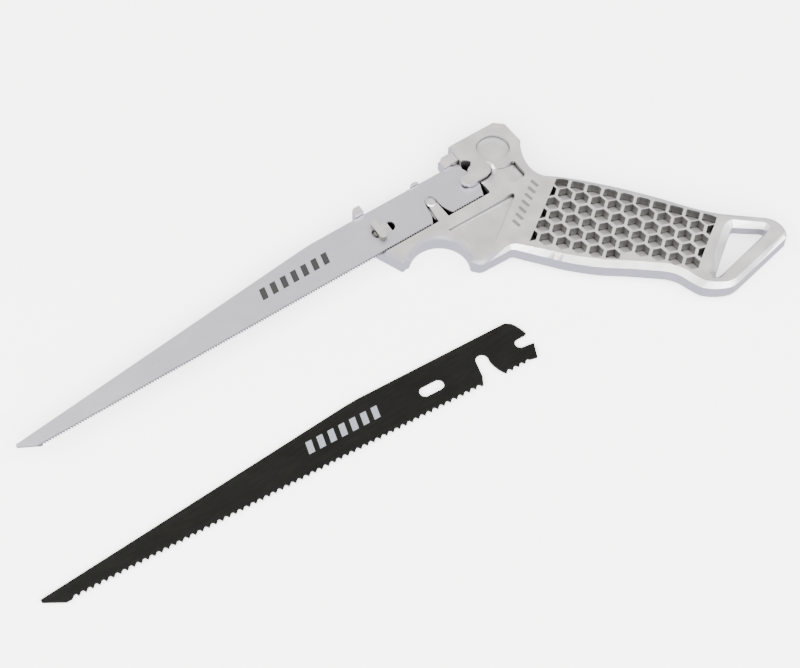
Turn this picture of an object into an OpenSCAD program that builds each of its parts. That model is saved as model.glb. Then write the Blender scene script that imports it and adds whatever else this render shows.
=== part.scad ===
// Drywall saw: die-cast handle with a quarter-turn blade lock, a fitted
// fine-tooth blade and a coarse-tooth blade lying beside it.
// Millimetres. X runs from the blade tip to the hang loop, Y towards the
// spine of the blade, Z up from the surface the saw lies on. The origin is
// on the underside, below the axis of the pivot post.

/* [Handle] */
// Thickness of the casting
handle_t = 8.6; // [8.2:0.1:10]
// Height of the bed that carries the blade
bed_z = 5.4; // [5:0.1:5.6]
// Height of the bevels round the outline
bevel_h = 1.5; // [0.8:0.1:1.6]
// Radius of the index finger arc
finger_r = 11.1; // [10.6:0.1:11.6]

/* [Honeycomb] */
// Distance between neighbouring cells
cell_pitch = 6.07; // [6:0.01:6.3]
// Width of a cell across its flats
cell_w = 5.0; // [4.4:0.05:5.1]
// Depth of the cells in the upper side
cell_depth = 4.3; // [3:0.1:5]
// Depth of the cells in the underside
cell_depth_back = 2.4; // [1:0.1:2.6]

/* [Blades] */
// Thickness of both blades
blade_t = 1.0; // [0.8:0.05:1.1]
// Length from the tip to the tail corner
blade_len = 189.2; // [180:0.1:195]
// Width of the parallel shank
blade_w = 17.3; // [17:0.1:17.4]
// Tooth pitch of the fitted blade, 24 teeth per inch
fine_pitch = 1.0583; // [0.9:0.0001:1.3]
// Tooth depth of the fitted blade
fine_depth = 0.85; // [0.4:0.05:0.9]
// Tooth pitch of the spare blade, 10 teeth per inch
coarse_pitch = 2.54; // [2.4:0.01:2.7]
// Tooth depth of the spare blade
coarse_depth = 1.2; // [1:0.05:1.6]

/* [Blade lock] */
// Length of the bar head of the lock key
key_len = 8.5; // [6.5:0.1:9]
// Width of the bar head
key_w = 2.7; // [2.6:0.1:3.2]
// Height of the bar head above the blade
key_h = 2.4; // [1.8:0.1:4]
// Diameter of the key shaft
key_d = 3.6; // [3:0.1:3.7]
// Diameter of the locating pin
pin_d = 3.5; // [3:0.1:3.6]
// Diameter of the pivot post
post_d = 3.4; // [3:0.1:3.5]

/* [Hidden] */
eps = 0.01;
run_gap = 0.05;      // radial clearance of a running fit
part_gap = 0.3;      // gap between pieces that move past each other
post = [-2.3, 7.8];  // pivot post, from the tail corner of the blade
pin = [-17.6, 7.8];  // locating pin
key = [-40.1, 8.0];  // lock key
slot_x0 = -42.9;     // ends and half width of the oval slot
slot_x1 = -33.5;
slot_r = 2.1;
blade_top = bed_z + blade_t;
tongue_z = blade_top + part_gap;
floor_z = 1.4;       // floor of the pockets under the blade
pin_top = blade_top + 0.8;
pin_foot = floor_z + 1;
pin_tip = 0.4;       // height of the chamfer of the pin
rail_y = -1.25;      // edge of the rail along the teeth
well_r = 4.6;        // recess in the underside round the key shaft
well_z = 3.4;
clip_z = 0.9;        // retaining ring, then the stop washer, then the springs
clip_t = 0.6;
washer_t = 0.6;
washer_z = clip_z + clip_t;
spring_z = washer_z + washer_t;
stop_r = 3.75;       // radius at which the stop pin stands
stop_d = 1.2;
hang_h = 2.4;        // height of the wide bevels in the hang hole
finger = [-30.1, -16.1];
grip_dir = -50.2;    // direction of the honeycomb rows
cell_0 = [17.9, -17.4];
row_step = 5.1;      // distance between the rows
row_lead = 0.4;      // each row starts this much behind the one above it
rear_row_in = 0.45;  // the rear row sits a little closer to the next one

spare_at = [-20.35, -62.7];
spare_turn = -3.3;
$fn = 48;

// points of a quadratic curve from a to c with the control point b, c left out
function curve(a, b, c, n) =
  [for (i = [0:n - 1]) let (t = i / n) a * pow(1 - t, 2) + b * 2 * t * (1 - t) + c * t * t];
// points of an arc, both ends kept, third value is the bevel width
function arc(c, r, a0, a1, n, w) =
  [for (i = [0:n]) let (a = a0 + (a1 - a0) * i / n) [c[0] + r * cos(a), c[1] + r * sin(a), w]];
function flat(pts) = [for (p = pts) [p[0], p[1]]];
// outline moved inwards by each point's own bevel width
function inward(pts, k = 1) =
  [for (i = [0:len(pts) - 1])
    let (n = len(pts), p = pts[i], a = pts[(i + n - 1) % n], b = pts[(i + 1) % n],
         u = unit([p[0] - a[0], p[1] - a[1]]), v = unit([b[0] - p[0], b[1] - p[1]]),
         nu = [u[1], -u[0]], nv = [v[1], -v[0]], s = max(0.4, 1 + nu * nv))
    [p[0] + k * p[2] * (nu[0] + nv[0]) / s, p[1] + k * p[2] * (nu[1] + nv[1]) / s]];
function unit(v) = v / norm(v);

// clockwise outline of the whole casting, [x, y, bevel width]
casting = concat(
  [[0.8, 22.2, 0.5], [0.8, 24.1, 0.5], [20.4, 24.1, 0.6], [24.1, 21.0, 0.6]],
  curve([24.7, 12.0, 0.6], [22.9, 10.2, 0.6], [21.5, 5.8, 0.6], 5),
  curve([21.5, 5.8, 0.6], [19.4, -1.8, 0.9], [23.6, -5.8, 1.4], 7),
  curve([23.6, -5.8, 1.4], [28.6, -9.4, 2.0], [36.2, -17.6, 2.2], 4),
  curve([36.2, -17.6, 2.2], [47.6, -29.8, 2.2], [56.8, -42.8, 2.1], 5),
  curve([56.8, -42.8, 2.1], [62.4, -50.5, 1.9], [69.0, -56.4, 1.6], 5),
  curve([78.4, -63.9, 1.4], [81.3, -66.3, 1.4], [81.4, -70.2, 1.4], 5),
  curve([81.4, -70.2, 1.4], [81.2, -74.4, 1.4], [78.6, -75.3, 1.4], 5),
  curve([54.0, -80.1, 1.5], [51.2, -80.7, 1.7], [48.6, -79.5, 1.9], 3),
  curve([48.6, -79.5, 1.9], [44.4, -77.6, 2.2], [41.8, -74.7, 2.4], 3),
  curve([41.8, -74.7, 2.4], [39.9, -71.2, 2.4], [38.9, -67.6, 2.4], 3),
  curve([38.9, -67.6, 2.4], [37.4, -63.6, 2.5], [32.8, -60.3, 2.5], 4),
  [[25.8, -54.7, 2.5]],
  curve([17.9, -48.9, 2.5], [9.6, -41.9, 2.5], [5.1, -36.2, 2.4], 5),
  curve([5.1, -36.2, 2.4], [0.3, -30.6, 2.2], [-3.7, -25.7, 1.7], 4),
  curve([-3.7, -25.7, 1.7], [-4.6, -24.5, 1.4], [-6.2, -24.4, 1.0], 3),
  curve([-15.2, -24.3, 0.8], [-18.4, -24.3, 0.8], [-19.2, -21.9, 0.7], 5),
  arc(finger, finger_r, -26, 133, 26, 0.6),
  curve([-38.6, -7.7, 0.6], [-40.2, -8.7, 0.6], [-41.4, -7.0, 0.5], 4),
  [[-44.6, 1.2, 0.4], [-45.6, 4.2, 0.4], [-45.6, 13.6, 0.4], [-44.6, 16.4, 0.4], [-21, 16.4, 0.4],
   [-5.4, 16.4, 0.4], [-5.4, 21.6, 0.4]]);
// clockwise outline of the hang hole at mid height, with outer bevel widths
hang = concat(
  curve([65.0, -61.1, 2.6], [66.3, -60.0, 2.2], [67.6, -61.0, 1.7], 3),
  curve([74.6, -66.5, 1.6], [77.0, -68.4, 1.4], [74.0, -69.2, 1.1], 4),
  curve([53.0, -73.6, 1.0], [46.6, -75.0, 1.8], [50.4, -71.7, 2.7], 5),
  [[57.4, -66.7, 2.7]]);

// solid through rings of points stacked in Z, all with the same number of points
module stacked(rings, zs) {
  n = len(rings[0]);
  m = len(rings);
  polyhedron(
    points = [for (k = [0:m - 1]) for (p = rings[k]) [p[0], p[1], zs[k]]],
    faces = concat(
      [[for (i = [0:n - 1]) (m - 1) * n + i]],
      [[for (i = [n - 1:-1:0]) i]],
      [for (k = [0:m - 2]) for (i = [0:n - 1]) let (a = k * n + i, b = k * n + (i + 1) % n) [a, b, b + n]],
      [for (k = [0:m - 2]) for (i = [0:n - 1]) let (a = k * n + i, b = k * n + (i + 1) % n) [a, b + n, a + n]]));
}

// closed ring of three rails that cuts a bevel; side is 1 for the upper rim, -1 for the lower
module bevel_cutter(pts, z, side) {
  n = len(pts);
  k = 0.25;
  inner = inward(pts, 1 + k);
  outer = inward(pts, -k);
  far = z + side * bevel_h * k;
  near = z - side * bevel_h * (1 + k);
  function face(a, b, c) = side > 0 ? [a, b, c] : [c, b, a];
  polyhedron(
    points = concat([for (p = inner) [p[0], p[1], far]], [for (p = outer) [p[0], p[1], near]],
                    [for (p = outer) [p[0], p[1], far]]),
    faces = [for (r = [0:2]) for (i = [0:n - 1]) for (half = [0:1])
      let (a = r * n + i, b = r * n + (i + 1) % n,
           c = ((r + 1) % 3) * n + (i + 1) % n, d = ((r + 1) % 3) * n + i)
      half == 0 ? face(a, b, c) : face(a, c, d)]);
}

module slab(pts, z0, z1) {
  translate([0, 0, z0]) linear_extrude(z1 - z0) polygon(pts);
}

// long hole from a to b with round ends
module oval(a, b, r, z0, z1) {
  d = b - a;
  translate([a[0], a[1], z0]) cylinder(r = r, h = z1 - z0);
  translate([b[0], b[1], z0]) cylinder(r = r, h = z1 - z0);
  translate([a[0], a[1], z0]) rotate([0, 0, atan2(d[1], d[0])]) translate([0, -r, 0])
    cube([norm(d), 2 * r, z1 - z0]);
}

// pocket with a flat sloping floor: its depth at p is d[0] + d[1] * p[0] + d[2] * p[1]
module sloped_pocket(pts, d) {
  n = len(pts);
  polyhedron(
    points = concat([for (p = pts) [p[0], p[1], handle_t - max(0.02, d[0] + d[1] * p[0] + d[2] * p[1])]],
                    [for (p = pts) [p[0], p[1], handle_t + 1]]),
    faces = concat(
      [[for (i = [0:n - 1]) n + i]],
      [for (i = [1:n - 2]) [0, i + 1, i]],
      [for (i = [0:n - 1]) [i, (i + 1) % n, n + (i + 1) % n]],
      [for (i = [0:n - 1]) [i, n + (i + 1) % n, n + i]]));
}

// pocket that runs out from its inner edge to its outer edge; the third value is the depth
module graded_pocket(inner, outer) {
  n = len(inner);
  rails = [for (side = [0:3]) for (i = [0:n - 1])
    let (p = side % 2 == 0 ? inner[i] : outer[i]) [p[0], p[1], side < 2 ? handle_t - p[2] : handle_t + 1]];
  order = [0, n, 3 * n, 2 * n];
  polyhedron(points = rails, faces = concat(
    [for (k = [0:3]) for (i = [0:n - 2]) for (half = [0:1])
      let (a = order[k] + i, b = order[(k + 1) % 4] + i)
      half == 0 ? [a, b, b + 1] : [a, b + 1, a + 1]],
    [[0, 2 * n, 3 * n, n], [n - 1, 2 * n - 1, 4 * n - 1, 3 * n - 1]]));
}

module to_origin() {
  translate([-post[0], -post[1], 0]) children();
}

// cells of one side: rows run along the grip, the field cuts the outer ones
module cells(z0, z1) {
  rows = [[-2, 0, 9], [-1, -1, 9], [0, 0, 9], [1, -1, 9], [2, 0, 9], [3, -1, 4]];
  translate([0, 0, z0]) linear_extrude(z1 - z0) intersection() {
    polygon(field);
    translate(cell_0) rotate(grip_dir) for (row = rows) for (i = [row[1]:row[2]])
      translate([(i + (abs(row[0]) % 2) / 2) * cell_pitch - row[0] * row_lead,
                 -row[0] * row_step - (row[0] == -2 ? rear_row_in : 0)])
        rotate(30) circle(d = cell_w / cos(30), $fn = 6);
  }
}

// field of the honeycomb
field = [[25.2, -9.6], [27.7, -11.1], [35.2, -19.6], [46.9, -33.9], [54.4, -43.2], [62.5, -53.0],
         [63.6, -55.1], [56.6, -59.7], [48.0, -65.8], [44.2, -68.9], [41.6, -67.4], [39.6, -64.2],
         [36.0, -59.6], [26.7, -51.8], [17.3, -44.4], [9.2, -36.0], [0.8, -26.6]];
// region of the blade seat that is open to the upper side
seat = [[-60, rail_y], [-60, 30], [0.8, 30], [0.8, 15.7], [1.5, 15.9], [2.6, 15.2], [3.7, 13.8],
        [2.7, 12.4], [2.3, 11.4], [2.3, 3.0], [2.1, -0.7], [1.5, rail_y]];
// hook tongue over the tail of the blade
tongue = [[-4.0, 8.4], [-3.6, 9.8], [-2.2, 10.9], [0.8, 11.5], [1.6, 12.0], [2.7, 12.4], [4.0, 12.0],
          [4.0, 5.6], [2.2, 5.5], [-0.2, 5.2], [-2.0, 5.5], [-3.5, 6.8]];
// pockets that leave three ribs under the blade
pocket_front = [[-35.3, rail_y], [-35.3, 14.8], [-19.9, 14.8], [-19.9, rail_y]];
pocket_mid = [[-15.3, rail_y], [-15.3, 14.8], [-6.4, 14.8], [-6.4, rail_y]];
pocket_rear = [[0.4, rail_y], [0.4, 14.6], [0.8, 15.7], [1.5, 15.9], [2.6, 15.2], [3.7, 13.8],
               [2.7, 12.4], [2.3, 11.4], [2.3, 3.0], [2.1, -0.7], [1.5, rail_y]];
// thumb scoop behind the tongue, deepest at its rear wall
scoop = [[9.9, 5.8], [12.8, 5.2], [16.5, 5.6], [17.1, 5.2], [17.3, -0.8], [16.9, -1.8], [15.7, -2.3],
         [11.1, -2.1], [9.7, -0.6]];
// shallow triangular recess between the rail and the finger arc
web_recess = [[-19.6, -6.0], [7.7, -5.7], [8.7, -6.0], [8.7, -7.2], [-11.2, -21.4], [-13.8, -21.4],
              [-15.4, -20.2], [-17.4, -11.0]];
// run-out beside the tongue: edge along the tongue, edge where it meets the face
run_out_in = [[2.0, 5.5, 1.85], [5.2, 5.4, 1.5], [7.0, 6.0, 1.2], [8.1, 7.3, 0.9], [8.4, 9.0, 0.5], [8.2, 10.6, 0.05]];
run_out_out = [[2.0, -0.4, 0.05], [5.4, 2.4, 0.05], [8.2, 4.4, 0.05], [9.6, 6.4, 0.05], [9.7, 8.8, 0.05], [9.0, 10.6, 0.05]];

module handle_casting() {
  color([0.80, 0.79, 0.78]) to_origin() {
    difference() {
      union() {
        difference() {
          slab(flat(casting), 0, handle_t);
          slab(seat, bed_z, tongue_z);
          translate([0, 0, tongue_z - eps]) linear_extrude(handle_t) difference() {
            polygon(seat);
            polygon(tongue);
          }
        }
        // spine lugs that stop the blade sideways
        slab([[-44.0, 16], [-44.0, 19.6], [-43.0, 20.6], [-40.4, 20.6], [-40.4, 16]], 0.6, 8.2);
        slab([[-5.4, 16], [-5.4, 20.4], [-4.2, 21.7], [1.2, 21.7], [1.2, 16]], 0.6, 7.6);
        translate([-18.6, 15.8, 0.6]) cylinder(r = 2.5, h = 7);
      }
      bevel_cutter(casting, handle_t, 1);
      bevel_cutter(casting, 0, -1);
      // clearance of the blade spine against the lugs
      translate([-50, 10, bed_z]) cube([50.8, 7.45, 10]);
      slab(pocket_front, floor_z, bed_z + eps);
      slab(pocket_mid, floor_z, bed_z + eps);
      slab(pocket_rear, floor_z, bed_z + eps);
      // round recess in the head
      translate([14.0, 14.5, handle_t - 2.2]) cylinder(r = 6.25, h = 3);
      sloped_pocket(scoop, [-2.7, 0.29, 0]);
      sloped_pocket(web_recess, [2.1, 0.046, 0.074]);
      graded_pocket(run_out_in, run_out_out);
      cells(handle_t - cell_depth, handle_t + 1);
      cells(-1, cell_depth_back);
      // hang hole with wide bevels
      stacked([inward(hang, -1.4), flat(hang), flat(hang), inward(hang, -1.4)],
              [-hang_h * 0.4, hang_h, handle_t - hang_h, handle_t + hang_h * 0.4]);
      // bore and well of the lock key
      translate([key[0], key[1], -1]) cylinder(d = key_d + 2 * run_gap, h = 10);
      translate([key[0], key[1], -1]) cylinder(r = well_r, h = well_z + 1);
      // blind holes of the pressed pins
      translate([key[0], key[1] + stop_r, 0]) cylinder(d = stop_d, h = well_z + 1.2);
      translate([pin[0], pin[1], pin_foot]) cylinder(d = pin_d, h = 10);
      translate([post[0], post[1], floor_z]) cylinder(d = post_d, h = tongue_z + 0.9 - floor_z);
    }
    // raised arm in the notch of the blade, with the hole of the locating pin
    difference() {
      slab([[-19.2, 6.6], [-15.9, 6.6], [-15.5, rail_y], [-19.9, rail_y]], bed_z, blade_top + 0.5);
      translate([pin[0], pin[1], bed_z - 1]) cylinder(d = pin_d, h = 3);
    }
    // plain slanted ribs cast on the face between head and grip
    for (i = [0:6]) {
      translate([2.2 + i * 2.55, -17.2 + i * 1.72, handle_t]) rotate([0, 0, 100])
        translate([-1.7, -0.45, 0]) cube([3.4, 0.9, 0.3]);
    }
  }
}

// side outline of a blade: pitch and depth of the teeth, rounded gullets or not
module blade(pitch, depth, coarse) {
  n_front = floor((182.2 - 22.6) / pitch);
  n_tail = floor(12.0 / pitch);
  tooth = coarse ? [[0, 0], [0.30, -0.55], [0.42, -0.86], [0.60, -1], [0.74, -0.92], [0.86, -0.55]]
                 : [[0, 0], [0.46, -1]];
  back_first = [for (i = [n_front - 1:-1:0]) for (t = tooth)
    [-22.6 - (i + 1) * pitch + t[0] * pitch, -t[1] * depth]];
  tail_teeth = [for (i = [0:n_tail - 1]) for (t = tooth)
    [-12.7 + i * pitch + t[0] * pitch, -t[1] * depth]];
  outline = concat(
    [[-blade_len, 3.9], [-182.2, 0]],
    back_first,
    [[-22.6, 0]],
    curve([-22.0, 0.1], [-21.3, 1.6], [-20.0, 4.2], 4),
    [for (a = [180:-20:0]) [pin[0] + 0.2 + 2.3 * cos(a), pin[1] + 0.9 + 2.3 * sin(a)]],
    [for (a = [184:8.5:216]) [post[0] + 13.0 * cos(a), post[1] + 13.0 * sin(a)]],
    tail_teeth,
    [[0, 0], [1.9, 5.4]],
    [for (a = [270:-20:90]) [post[0] + 1.95 * cos(a), post[1] + 1.95 * sin(a)]],
    [[0.6, 9.75], [1.5, 10.0]],
    curve([1.4, 10.4], [0.4, 14.6], [-2.0, blade_w], 4),
    [[-3.0, blade_w], [-60.0, blade_w]],
    curve([-62.6, blade_w - 0.02], [-66.5, blade_w - 0.2], [-70.0, blade_w - 0.55], 3),
    [[-70.0, blade_w - 0.55], [-blade_len, 4.9]]);
  difference() {
    linear_extrude(blade_t) polygon(outline);
    oval([slot_x0 + slot_r, key[1]], [slot_x1 - slot_r, key[1]], slot_r, -1, blade_t + 1);
  }
}

module fine_blade() {
  color([0.77, 0.78, 0.81]) to_origin() translate([0, 0, bed_z])
    blade(fine_pitch, fine_depth, false);
}

module coarse_blade() {
  color([0.16, 0.16, 0.15]) to_origin() translate([spare_at[0], spare_at[1], 0])
    rotate([0, 0, spare_turn]) blade(coarse_pitch, coarse_depth, true);
}

module locating_pin() {
  color([0.83, 0.83, 0.82]) to_origin() translate([pin[0], pin[1], 0]) {
    translate([0, 0, pin_foot]) cylinder(d = pin_d, h = pin_top - pin_tip - pin_foot);
    translate([0, 0, pin_top - pin_tip]) cylinder(d1 = pin_d, d2 = pin_d - 2 * pin_tip, h = pin_tip);
  }
}

module pivot_post() {
  color([0.70, 0.71, 0.73]) to_origin() translate([post[0], post[1], floor_z])
    cylinder(d = post_d, h = tongue_z + 0.9 - floor_z);
}

module lock_key() {
  color([0.78, 0.78, 0.76]) to_origin() translate([key[0], key[1], 0]) {
    difference() {
      translate([0, 0, 0.4]) cylinder(d = key_d, h = blade_top + run_gap - 0.4);
      // groove of the retaining ring
      translate([0, 0, clip_z]) difference() {
        cylinder(d = key_d + 1, h = clip_t);
        cylinder(r = 1.25, h = clip_t);
      }
      // flat that drives the stop washer
      translate([1.35, -3, 0]) cube([2, 6, spring_z]);
    }
    translate([0, 0, blade_top + run_gap]) linear_extrude(key_h) {
      square([key_w, key_len - key_w], center = true);
      for (s = [-1, 1]) translate([0, s * (key_len - key_w) / 2]) circle(d = key_w);
    }
  }
}

module key_spring_washers() {
  color([0.42, 0.43, 0.46]) to_origin() translate([key[0], key[1], spring_z]) {
    rotate_extrude() polygon([[1.95, 0.35], [2.85, 0], [2.85, 0.3], [1.95, 0.63]]);
    rotate_extrude() polygon([[1.95, 0.63], [2.85, 0.95], [2.85, 1.25], [1.95, 0.93]]);
  }
}

module key_stop_washer() {
  span = 90 + 2 * asin(stop_d / 2 / stop_r) + 4;
  color([0.60, 0.61, 0.63]) to_origin() translate([key[0], key[1], washer_z]) difference() {
    cylinder(r = well_r - part_gap, h = washer_t);
    // hole with a flat that fits the shaft
    difference() {
      translate([0, 0, -1]) cylinder(d = key_d, h = 3);
      translate([1.35, -3, -1]) cube([2, 6, 4]);
    }
    // notch in which the stop pin travels
    translate([0, 0, -1]) linear_extrude(3) polygon(concat(
      [for (i = [0:8]) let (a = 90 + (i / 8 - 0.5) * span - 45) [2.9 * cos(a), 2.9 * sin(a)]],
      [for (i = [8:-1:0]) let (a = 90 + (i / 8 - 0.5) * span - 45) [7 * cos(a), 7 * sin(a)]]));
  }
}

module key_retaining_ring() {
  color([0.30, 0.31, 0.33]) to_origin() translate([key[0], key[1], clip_z]) difference() {
    cylinder(r = 2.7, h = clip_t);
    translate([0, 0, -1]) cylinder(r = 1.25, h = 3);
    translate([-1.1, -4, -1]) cube([2.2, 4, 3]);
  }
}

module key_stop_pin() {
  color([0.52, 0.53, 0.55]) to_origin() translate([key[0], key[1] + stop_r, 1.2])
    cylinder(d = stop_d, h = well_z);
}

handle_casting();
fine_blade();
coarse_blade();
locating_pin();
pivot_post();
lock_key();
key_spring_washers();
key_stop_washer();
key_retaining_ring();
key_stop_pin();
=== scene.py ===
import math
import bpy
import bmesh
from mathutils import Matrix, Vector


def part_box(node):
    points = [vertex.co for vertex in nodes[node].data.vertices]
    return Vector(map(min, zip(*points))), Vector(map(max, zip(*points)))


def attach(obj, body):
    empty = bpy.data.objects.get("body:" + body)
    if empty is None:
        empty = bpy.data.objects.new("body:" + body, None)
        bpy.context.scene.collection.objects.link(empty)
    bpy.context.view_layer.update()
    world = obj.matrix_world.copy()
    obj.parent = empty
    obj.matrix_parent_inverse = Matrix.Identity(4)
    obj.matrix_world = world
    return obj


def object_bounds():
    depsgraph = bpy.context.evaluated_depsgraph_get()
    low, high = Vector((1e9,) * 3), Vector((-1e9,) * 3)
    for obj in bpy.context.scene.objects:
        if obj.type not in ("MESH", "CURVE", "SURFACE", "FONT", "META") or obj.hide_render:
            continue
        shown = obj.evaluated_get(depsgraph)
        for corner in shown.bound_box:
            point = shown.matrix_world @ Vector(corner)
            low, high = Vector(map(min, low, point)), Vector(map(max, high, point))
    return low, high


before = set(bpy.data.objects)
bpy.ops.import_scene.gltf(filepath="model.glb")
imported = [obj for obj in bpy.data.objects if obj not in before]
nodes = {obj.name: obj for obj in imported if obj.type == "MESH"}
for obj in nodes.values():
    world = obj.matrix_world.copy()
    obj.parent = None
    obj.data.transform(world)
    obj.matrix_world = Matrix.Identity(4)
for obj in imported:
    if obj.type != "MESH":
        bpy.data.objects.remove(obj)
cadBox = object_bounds()
mm = 0.001


def hexToLinear(code):
    values = [int(code[i:i + 2], 16) / 255 for i in (1, 3, 5)]
    return [v / 12.92 if v <= 0.04045 else ((v + 0.055) / 1.055) ** 2.4 for v in values] + [1.0]


def newMaterial(name):
    material = bpy.data.materials.new(name)
    material.use_nodes = True
    material.node_tree.nodes.clear()
    return material


def addNode(owner, kind, links=(), inputs=(), **settings):
    # owner is a material or a world, links are (source node or socket, input), inputs are (input, value)
    node = owner.node_tree.nodes.new("ShaderNode" + kind)
    for key, value in settings.items():
        setattr(node, key, value)
    for socket, value in inputs:
        node.inputs[socket].default_value = value
    for source, socket in links:
        output = source if isinstance(source, bpy.types.NodeSocket) else source.outputs[0]
        owner.node_tree.links.new(output, node.inputs[socket])
    return node


def mixColours(material, factor, first, second):
    # first and second are hex colours or sockets, factor one gives the second
    node = addNode(material, "Mix", [(factor, 0)], data_type="RGBA")
    for socket, colour in ((6, first), (7, second)):
        if isinstance(colour, str):
            node.inputs[socket].default_value = hexToLinear(colour)
        else:
            material.node_tree.links.new(colour, node.inputs[socket])
    return node.outputs[2]


def noise(material, place, size, detail=3.0, stretch=1.0):
    # size is the width of one grain in mm, stretch is how many times longer it is along X
    if stretch != 1.0:
        place = addNode(material, "Mapping", [(place, 0)], [("Scale", (1 / stretch, 1, 1))])
    scale = 1 / (size * mm)
    return addNode(material, "TexNoise", [(place, "Vector")], [("Scale", scale), ("Detail", detail)])


def spread(material, source, low, high, outLow=0.0, outHigh=1.0):
    # moves the range low..high of a value to outLow..outHigh
    return addNode(material, "MapRange", [(source, 0)], [(1, low), (2, high), (3, outLow), (4, outHigh)])


def combine(material, operation, first, second):
    # second is a node or a number
    if isinstance(second, (int, float)):
        return addNode(material, "Math", [(first, 0)], [(1, second)], operation=operation)
    return addNode(material, "Math", [(first, 0), (second, 1)], operation=operation)


def insideBox(material, place, low, high):
    # one inside the box given by two corners in mm, nought outside
    parts = addNode(material, "SeparateXYZ", [(place, 0)])
    tests = [combine(material, "GREATER_THAN", parts.outputs[i], low[i] * mm) for i in range(3)]
    tests += [combine(material, "LESS_THAN", parts.outputs[i], high[i] * mm) for i in range(3)]
    inside = tests[0]
    for test in tests[1:]:
        inside = combine(material, "MULTIPLY", inside, test)
    return inside


def steepness(material):
    # nought on level faces, one on upright ones
    normal = addNode(material, "NewGeometry").outputs["True Normal"]
    upward = addNode(material, "SeparateXYZ", [(normal, 0)]).outputs[2]
    return spread(material, combine(material, "ABSOLUTE", upward, 0.0), 0.2, 0.85, 1.0, 0.0)


gaps = {
    "width": 1.0,     # mm, gaps narrower than about this get painted shade
    "cleanTo": 1.5,   # mm, height up to which nothing darkens
}


def paintGapShade(material, place, dark, colour):
    # painted shade: darkens where another surface lies within the gap width, except low down by the table
    near = addNode(material, "AmbientOcclusion", inputs=[("Distance", gaps["width"] * mm)], samples=8)
    near = spread(material, near.outputs["AO"], 0.35, 0.8)
    height = addNode(material, "SeparateXYZ", [(place, 0)]).outputs[2]
    low = combine(material, "LESS_THAN", height, gaps["cleanTo"] * mm)
    return mixColours(material, combine(material, "MAXIMUM", near, low), dark, colour)


def relief(material, height, strength, depth):
    # depth in mm
    return addNode(material, "Bump", [(height, "Height")], [("Strength", strength), ("Distance", depth * mm)])


def metal(material, colour, roughness, variation, height=None, bump=None):
    # roughness follows the variation, bump is (strength, depth in mm) of the height
    rough = spread(material, variation, 0.3, 0.7, roughness - 0.04, roughness + 0.06)
    links = [(colour, "Base Color"), (rough, "Roughness")]
    if bump:
        links.append((relief(material, height, *bump), "Normal"))
    shader = addNode(material, "BsdfPrincipled", links, [("Metallic", 1.0)])
    addNode(material, "OutputMaterial", [(shader, 0)])
    return material


def dress(obj, material):
    obj.data.materials.clear()
    obj.data.materials.append(material)


def softenEdges(obj, width, segments):
    # small rounds on every edge, width in mm
    dissolve = obj.modifiers.new("flatFaces", "DECIMATE")
    dissolve.decimate_type = "DISSOLVE"
    dissolve.angle_limit = math.radians(0.6)
    bevel = obj.modifiers.new("edgeRounds", "BEVEL")
    bevel.width = width * mm
    bevel.segments = segments
    bevel.limit_method = "ANGLE"
    bevel.angle_limit = math.radians(28)
    bevel.harden_normals = True
    bevel.miter_outer = "MITER_ARC"
    normals = obj.modifiers.new("evenNormals", "WEIGHTED_NORMAL")
    normals.keep_sharp = True
    for polygon in obj.data.polygons:
        polygon.use_smooth = True


# handle casting
castAluminium = {
    "face": "#d5d3d1",       # upper skin, tumbled until it is even
    "cloud": "#c9c7c6",      # duller clouds in the same skin
    "cloudSize": 7.0,        # mm
    "wall": "#cccbd5",       # side walls painted cooler and darker: painted shade with the bluish tint of the room they mirror
    "recessShade": "#b2b1b0",      # painted shade in recesses, on level faces
    "wallStain": "#858482",  # the same painted recess shade on steep walls, darker
    "reach": 12.0,           # mm, how far away a wall still casts the painted recess shade
    "gapShade": "#474645",    # painted shade in the finest gaps and where parts nearly touch
    "rib": "#8b8a89",        # cast ribs between head and grip, painted a darker grey
    "ribBox": ((-60, -90, 8.64), (90, 20, 9.2)),          # mm, all that stands above the face
    "pocket": "#1e1d1c",     # painted shade: near black in the pockets under the blade
    "pocketBox": ((-34.0, -9.4, 0.8), (4.8, 7.6, 5.3)),   # mm, where those pockets are
    "teethBox": ((-39.5, -9.0, 0.8), (4.8, -6.0, 5.5)),   # mm, bed under the teeth, also painted near black as painted shade
    "grain": 0.30,           # mm, grain of the tumbled skin
    "roughness": 0.36,
}


def tumbledCastAluminium():
    # die-cast aluminium, tumbled: a creamy satin face with fine grain; walls are painted cooler and darker,
    # and recesses, fine gaps and the pockets under the blade are painted darker, all as painted shade
    c = castAluminium
    m = newMaterial("tumbledCastAluminium")
    place = addNode(m, "TexCoord").outputs["Object"]
    grain = noise(m, place, c["grain"])
    cloud = noise(m, place, c["cloudSize"], 4.0)
    steep = steepness(m)
    face = mixColours(m, spread(m, cloud, 0.35, 0.65), c["cloud"], c["face"])
    # painted shade: steep walls get a cooler, darker colour
    openColour = mixColours(m, steep, face, c["wall"])
    # painted shade: recesses darken where occlusion within reach is high
    recessShade = mixColours(m, steep, c["recessShade"], c["wallStain"])
    reach = [("Distance", c["reach"] * mm)]
    openness = addNode(m, "AmbientOcclusion", inputs=reach, samples=8, only_local=True).outputs["AO"]
    colour = mixColours(m, spread(m, openness, 0.3, 0.8), recessShade, openColour)
    colour = paintGapShade(m, place, c["gapShade"], colour)
    colour = mixColours(m, insideBox(m, place, *c["ribBox"]), colour, c["rib"])
    # painted shade: the pockets under the blade and the bed under the teeth are painted near black
    pocket = insideBox(m, place, *c["pocketBox"])
    teeth = insideBox(m, place, *c["teethBox"])
    colour = mixColours(m, combine(m, "MAXIMUM", pocket, teeth), colour, c["pocket"])
    return metal(m, colour, c["roughness"], cloud, grain, (0.5, 0.04))


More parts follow.
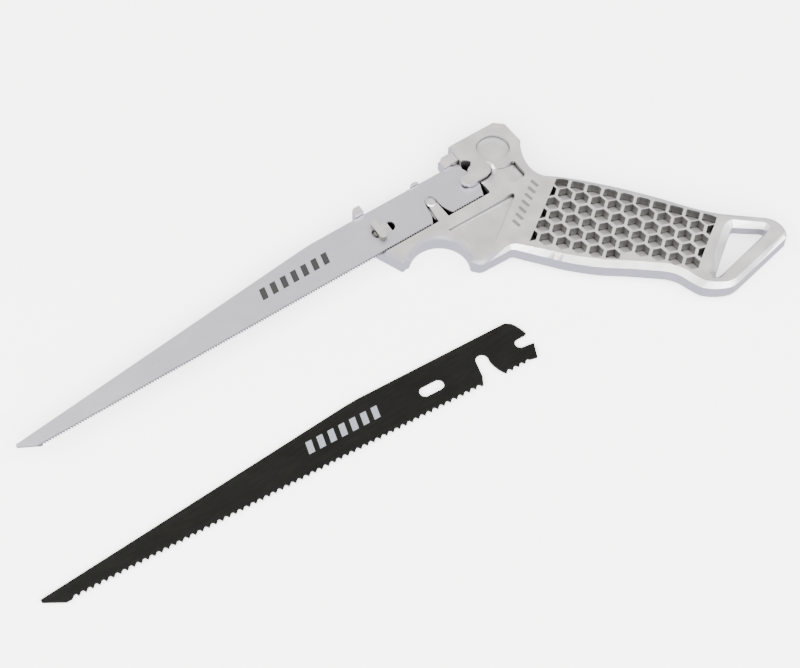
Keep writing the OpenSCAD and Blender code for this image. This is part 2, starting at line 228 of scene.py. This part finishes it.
# blades and the steel inside the key; streak is (length, width) of one scratch in mm
groundSpringSteel = {
    "light": "#c1c1c6",
    "dark": "#b7b7be",
    "roughness": 0.38,
    "streak": (9, 0.22),
    "teeth": "#86868c",      # facets cut after grinding, painted a darker grey
    "teethBox": ((-182, -8.0, 5.0), (3, -7.2, 6.6)),      # mm, the tooth line
}
blackOxideSteel = {"light": "#232321", "dark": "#1e1e1c", "roughness": 0.44, "streak": (5, 0.4)}
greyWasherSteel = {"light": "#b8b8ba", "dark": "#a4a4a8", "roughness": 0.35, "streak": (1, 0.2)}
blackenedSpringSteel = {"light": "#5a5b5e", "dark": "#3c3d40", "roughness": 0.4, "streak": (2, 0.2)}


def brushedSteel(name, s):
    m = newMaterial(name)
    length, width = s["streak"]
    place = addNode(m, "TexCoord").outputs["Object"]
    streaks = noise(m, place, width, stretch=length / width)
    cloud = noise(m, place, 16.0)
    both = combine(m, "ADD", streaks, cloud)
    colour = mixColours(m, spread(m, both, 0.7, 1.3), s["dark"], s["light"])
    if "teeth" in s:
        colour = mixColours(m, insideBox(m, place, *s["teethBox"]), colour, s["teeth"])
    return metal(m, colour, s["roughness"], streaks, streaks, (0.25, 0.008))


# lock key and pins
castKeyZinc = {
    "light": "#cfcdc7",
    "dark": "#c6c4bd",
    "side": "#5b5953",       # painted shade on the sides, brown-grey
    "gapShade": "#2b2a27",
    "grain": 0.35,           # mm
    "roughness": 0.38,
    "bump": (0.4, 0.03),
}
turnedPinSteel = {
    "light": "#dededd",
    "dark": "#cfcfce",
    "side": "#5f5f63",       # painted shade on the sides
    "gapShade": "#2b2b2c",
    "grain": 0.25,
    "roughness": 0.30,
    "bump": None,
}


def metalWithPaintedShade(name, s):
    # bright on level faces; the sides and the gaps around it are painted dark as painted shade
    m = newMaterial(name)
    place = addNode(m, "TexCoord").outputs["Object"]
    grain = noise(m, place, s["grain"])
    colour = mixColours(m, spread(m, grain, 0.3, 0.7), s["dark"], s["light"])
    # painted shade: upright sides get the darker side colour
    colour = mixColours(m, steepness(m), colour, s["side"])
    colour = paintGapShade(m, place, s["gapShade"], colour)
    return metal(m, colour, s["roughness"], grain, grain, s["bump"])


castMaterial = tumbledCastAluminium()
# ground spring steel: cool, even and satin, with hair-fine lines along the blade
brightBlade = brushedSteel("groundSpringSteel", groundSpringSteel)
# black oxide on steel: warm near-black with a low sheen
blackBlade = brushedSteel("blackOxideSteel", blackOxideSteel)
# plain steel of the stop washer, grey with fine turning lines
washerSteel = brushedSteel("greyWasherSteel", greyWasherSteel)
# heat-blackened spring steel of the washers and the ring
springSteel = brushedSteel("blackenedSpringSteel", blackenedSpringSteel)
# zinc casting of the key: duller and yellower than the handle
keyZinc = metalWithPaintedShade("castKeyZinc", castKeyZinc)
# turned steel pins: a bright polished end over sides painted darker as painted shade
pinSteel = metalWithPaintedShade("turnedPinSteel", turnedPinSteel)
print("materials made")

edgeRounds = {
    "handle_casting": (0.25, 2),   # width in mm and segments
    "fine_blade": (0.04, 1),
    "coarse_blade": (0.04, 1),
    "lock_key": (0.5, 3),
    "locating_pin": (0.2, 2),
}
finishes = {
    "handle_casting": castMaterial,
    "fine_blade": brightBlade,
    "coarse_blade": blackBlade,
    "locating_pin": pinSteel,
    "pivot_post": pinSteel,
    "lock_key": keyZinc,
    "key_spring_washers": springSteel,
    "key_stop_washer": washerSteel,
    "key_retaining_ring": springSteel,
    "key_stop_pin": pinSteel,
}
for name, (width, segments) in edgeRounds.items():
    softenEdges(nodes[name], width, segments)
for name, finish in finishes.items():
    dress(nodes[name], finish)
print("frame dressed")

# prints on the blades: a row of plain slanted bars
bladePrint = {
    "bars": 7,
    "pitch": 4.3,            # mm between bars
    "width": 2.3,
    "height": 4.6,
    "lean": 12,              # degrees
    "film": 0.03,            # mm, thickness of the ink
    "bite": 0.005,           # mm the film reaches into the blade
}
finePrint = {
    "blade": "fine_blade",
    "body": "saw",
    "slot": "blade_steel",
    "first": (-85.6, 1.2),   # mm, middle of the first bar
    "turn": 0.6,             # degrees, direction of the row
}
coarsePrint = {
    "blade": "coarse_blade",
    "body": "spare_blade",
    "slot": "black_steel",
    "first": (-103.0, -56.4),
    "turn": -2.7,
}


def padInk(name, light, dark):
    # pad-printed ink: a thin matt film, slightly uneven where it was pressed
    m = newMaterial(name)
    place = addNode(m, "TexCoord").outputs["Object"]
    mottle = noise(m, place, 0.5)
    colour = mixColours(m, spread(m, mottle, 0.3, 0.7), dark, light)
    links = [(colour, "Base Color"), (relief(m, mottle, 0.2, 0.01), "Normal")]
    shader = addNode(m, "BsdfPrincipled", links, [("Roughness", 0.6), ("IOR", 1.5)])
    addNode(m, "OutputMaterial", [(shader, 0)])
    return m


def addPrint(row, ink):
    p = bladePrint
    turn = math.radians(row["turn"])
    along = Vector((math.cos(turn), math.sin(turn), 0))
    across = Vector((-along.y, along.x, 0))
    lean = across + along * math.tan(math.radians(p["lean"]))
    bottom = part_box(row["blade"])[1][2] / mm - p["bite"]
    lift = Vector((0, 0, p["film"]))
    bm = bmesh.new()
    for i in range(p["bars"]):
        middle = Vector((*row["first"], bottom)) + along * p["pitch"] * i
        corners = [middle + along * x * p["width"] / 2 + lean * y * p["height"] / 2
                   for x, y in ((-1, -1), (1, -1), (1, 1), (-1, 1))]
        low = [bm.verts.new(c * mm) for c in corners]
        high = [bm.verts.new((c + lift) * mm) for c in corners]
        bm.faces.new(high)
        bm.faces.new(low[::-1])
        for a in range(4):
            b = (a + 1) % 4
            bm.faces.new((low[a], low[b], high[b], high[a]))
    name = row["blade"] + "_print"
    mesh = bpy.data.meshes.new(name)
    bm.to_mesh(mesh)
    bm.free()
    obj = bpy.data.objects.new(name, mesh)
    bpy.context.scene.collection.objects.link(obj)
    dress(obj, ink)
    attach(obj, row["body"])


addPrint(finePrint, padInk("blackPadInk", "#0e0d0c", "#090908"))
addPrint(coarsePrint, padInk("paleGreyPadInk", "#74767d", "#666870"))
print("prints made")

# studio
studio = {
    "target": (-52.7, -35.9, 0.0),   # mm, point of the table at the middle of the view
    "azimuth": -33.59,
    "elevation": 60.26,
    "distance": 750.8,               # mm
    "lens": 96.1,
    "floor": "#fbfbf9",
    "floorGlow": 1.4,                # faintly backlit acrylic table
    "floorGap": 0.2,                 # mm below the object
    "floorSize": 3.0,                # m from the middle to the edge
    "sky": "#efedec",
    "skyStrength": 1.85,
    "ground": "#cfced8",
    "groundStrength": 2.2,
}
softboxes = {                        # azimuth from the camera, elevation, distance m, size m, watts
    "frontBox": (0, 33, 1.6, (2.8, 1.3), 125),
    "leftBox": (-85, 40, 1.5, (1.5, 1.0), 40),
    "rightBox": (85, 40, 1.5, (1.5, 1.0), 40),
}


def direction(azimuth, elevation):
    # from the target towards a place, azimuth counted from -Y towards +X
    a = math.radians(azimuth)
    e = math.radians(elevation)
    return Vector((math.sin(a) * math.cos(e), -math.cos(a) * math.cos(e), math.sin(e)))


def makeFloor():
    m = newMaterial("paleAcrylicTable")
    place = addNode(m, "TexCoord").outputs["Object"]
    rough = spread(m, noise(m, place, 2.5, 2.0), 0.0, 1.0, 0.75, 0.85)
    shader = addNode(m, "BsdfPrincipled", [(rough, "Roughness")],
                     [("Base Color", hexToLinear(studio["floor"])), ("Emission Color", (1, 1, 1, 1)),
                      ("Emission Strength", studio["floorGlow"])])
    addNode(m, "OutputMaterial", [(shader, 0)])
    mesh = bpy.data.meshes.new("studioFloor")
    bm = bmesh.new()
    bmesh.ops.create_grid(bm, x_segments=1, y_segments=1, size=studio["floorSize"])
    bm.to_mesh(mesh)
    bm.free()
    floor = bpy.data.objects.new("studioFloor", mesh)
    bpy.context.scene.collection.objects.link(floor)
    floor.location.z = cadBox[0][2] - studio["floorGap"] * mm
    floor.visible_glossy = False   # so that the metal mirrors the dim part of the room below the table
    floor.visible_diffuse = False
    dress(floor, m)


def makeCamera():
    data = bpy.data.cameras.new("studioCamera")
    data.sensor_width = 36
    data.lens = studio["lens"]
    data.clip_start = 0.01
    camera = bpy.data.objects.new("studioCamera", data)
    bpy.context.scene.collection.objects.link(camera)
    back = direction(studio["azimuth"], studio["elevation"])
    camera.location = (Vector(studio["target"]) + back * studio["distance"]) * mm
    camera.rotation_euler = (math.radians(90 - studio["elevation"]), 0, math.radians(studio["azimuth"]))
    bpy.context.scene.camera = camera


def addSoftbox(name, azimuth, elevation, distance, size, watts):
    data = bpy.data.lights.new(name, "AREA")
    data.shape = "RECTANGLE"
    data.size, data.size_y = size
    data.energy = watts
    light = bpy.data.objects.new(name, data)
    bpy.context.scene.collection.objects.link(light)
    away = direction(azimuth + studio["azimuth"], elevation)
    light.location = Vector(studio["target"]) * mm + away * distance
    light.rotation_euler = (-away).to_track_quat("-Z", "Y").to_euler()


def makeWorld():
    # pale room: bluish below the table, warmer and brighter above
    world = bpy.data.worlds.new("studioWorld")
    bpy.context.scene.world = world
    world.use_nodes = True
    place = addNode(world, "TexCoord").outputs["Generated"]
    height = addNode(world, "SeparateXYZ", [(place, 0)]).outputs[2]
    ramp = addNode(world, "ValToRGB", [(spread(world, height, -1.0, 1.0), 0)])
    for stop, position, part in ((0, 0.44, "ground"), (1, 0.75, "sky")):
        strength = studio[part + "Strength"]
        ramp.color_ramp.elements[stop].position = position
        ramp.color_ramp.elements[stop].color = [v * strength for v in hexToLinear(studio[part])[:3]] + [1]
    world.node_tree.links.new(ramp.outputs[0], world.node_tree.nodes["Background"].inputs[0])


makeFloor()
makeCamera()
for name, values in softboxes.items():
    addSoftbox(name, *values)
makeWorld()
print("studio made")
